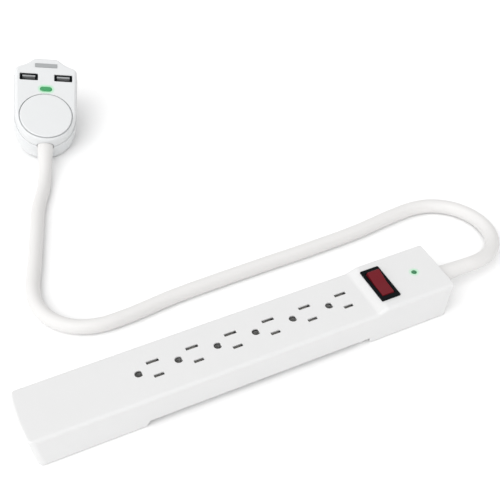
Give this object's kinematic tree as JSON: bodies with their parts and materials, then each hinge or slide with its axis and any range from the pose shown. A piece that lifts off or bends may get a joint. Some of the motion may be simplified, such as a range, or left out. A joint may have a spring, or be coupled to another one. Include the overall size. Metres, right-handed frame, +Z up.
{
  "type": "power strip",
  "caption": "Long white strip of grounded outlets with a red rocker switch, status lamp, and a short heavy cord ending in a wide plug with charging ports.",
  "frame": {"origin": "middle of the strip's footprint, on the surface its feet stand on", "axes": "+X along the strip towards the switch and the cord exit, +Y across it towards the side where the cord and plug lie, +Z up out of the outlet face"},
  "size_m": [0.3875, 0.3884, 0.0593],
  "materials": {
    "white_plastic": "satin moulded",
    "plug_plastic": "satin moulded",
    "cord_jacket": "soft matte vinyl",
    "black_plastic": "satin moulded",
    "red_plastic": "polished, slightly translucent",
    "green_lens": "polished translucent lens",
    "grey_plastic": "satin moulded",
    "green_insulation": "satin vinyl",
    "circuit_board": "solder mask",
    "blue_coating": "dipped epoxy",
    "yellow_tape": "polyester tape",
    "brass": "stamped",
    "tinned_brass": "stamped, tin plated",
    "nickel": "nickel plated",
    "steel": "zinc plated"
  },
  "bodies": {
    "strip": {"top_housing": "white_plastic", "bottom_cover": "white_plastic", "cover_screw_1": "steel", "cover_screw_2": "steel", "cover_screw_3": "steel", "cover_screw_4": "steel", "cover_screw_5": "steel", "cover_screw_6": "steel", "live_bus_bar": "tinned_brass", "neutral_bus_bar": "tinned_brass", "ground_bus_bar": "tinned_brass", "bus_bar_tray": "white_plastic", "switch_body": "black_plastic", "switch_line_terminal": "brass", "switch_load_terminal": "brass", "status_lamp": "green_lens", "surge_board": "circuit_board", "varistor_1": "blue_coating", "varistor_2": "blue_coating", "varistor_3": "blue_coating", "thermal_fuse": "nickel", "cord_jacket_end": "cord_jacket", "strip_strain_relief": "cord_jacket", "live_lead": "black_plastic", "neutral_lead": "white_plastic", "ground_lead": "green_insulation", "switched_lead": "black_plastic", "cord": "cord_jacket", "plug_front_shell": "plug_plastic", "plug_rear_shell": "plug_plastic", "plug_round_cap": "plug_plastic", "plug_label_plate": "grey_plastic", "plug_indicator": "green_lens", "usb_port_left": "black_plastic", "usb_tongue_left": "grey_plastic", "usb_port_right": "black_plastic", "usb_tongue_right": "grey_plastic", "neutral_blade": "nickel", "live_blade": "nickel", "ground_pin": "nickel", "blade_holder": "black_plastic", "charger_board": "circuit_board", "charger_transformer": "yellow_tape", "charger_capacitor": "black_plastic", "plug_screw_1": "steel", "plug_screw_2": "steel", "plug_screw_3": "steel", "plug_screw_4": "steel", "plug_strain_relief": "cord_jacket"},
    "rocker": {"rocker": "red_plastic", "rocker_spring": "steel", "rocker_plunger": "white_plastic"},
    "contact_lever": {"contact_lever": "brass"}
  },
  "joints": [
    {"name": "rocker_hinge", "type": "hinge", "parent": "strip", "child": "rocker", "pos_m": [0.10785, 0.00025, 0.0265], "axis": [-1, 0, 0], "range_deg": [0, 18]},
    {"name": "contact_lever_hinge", "type": "hinge", "parent": "strip", "child": "contact_lever", "pos_m": [0.10785, 0.00025, 0.0163], "axis": [-1, 0, 0], "range_deg": [-18, 0]}
  ],
  "couplings": [
    {"joint": "contact_lever_hinge", "follows": "rocker_hinge", "ratio": -1}
  ]
}
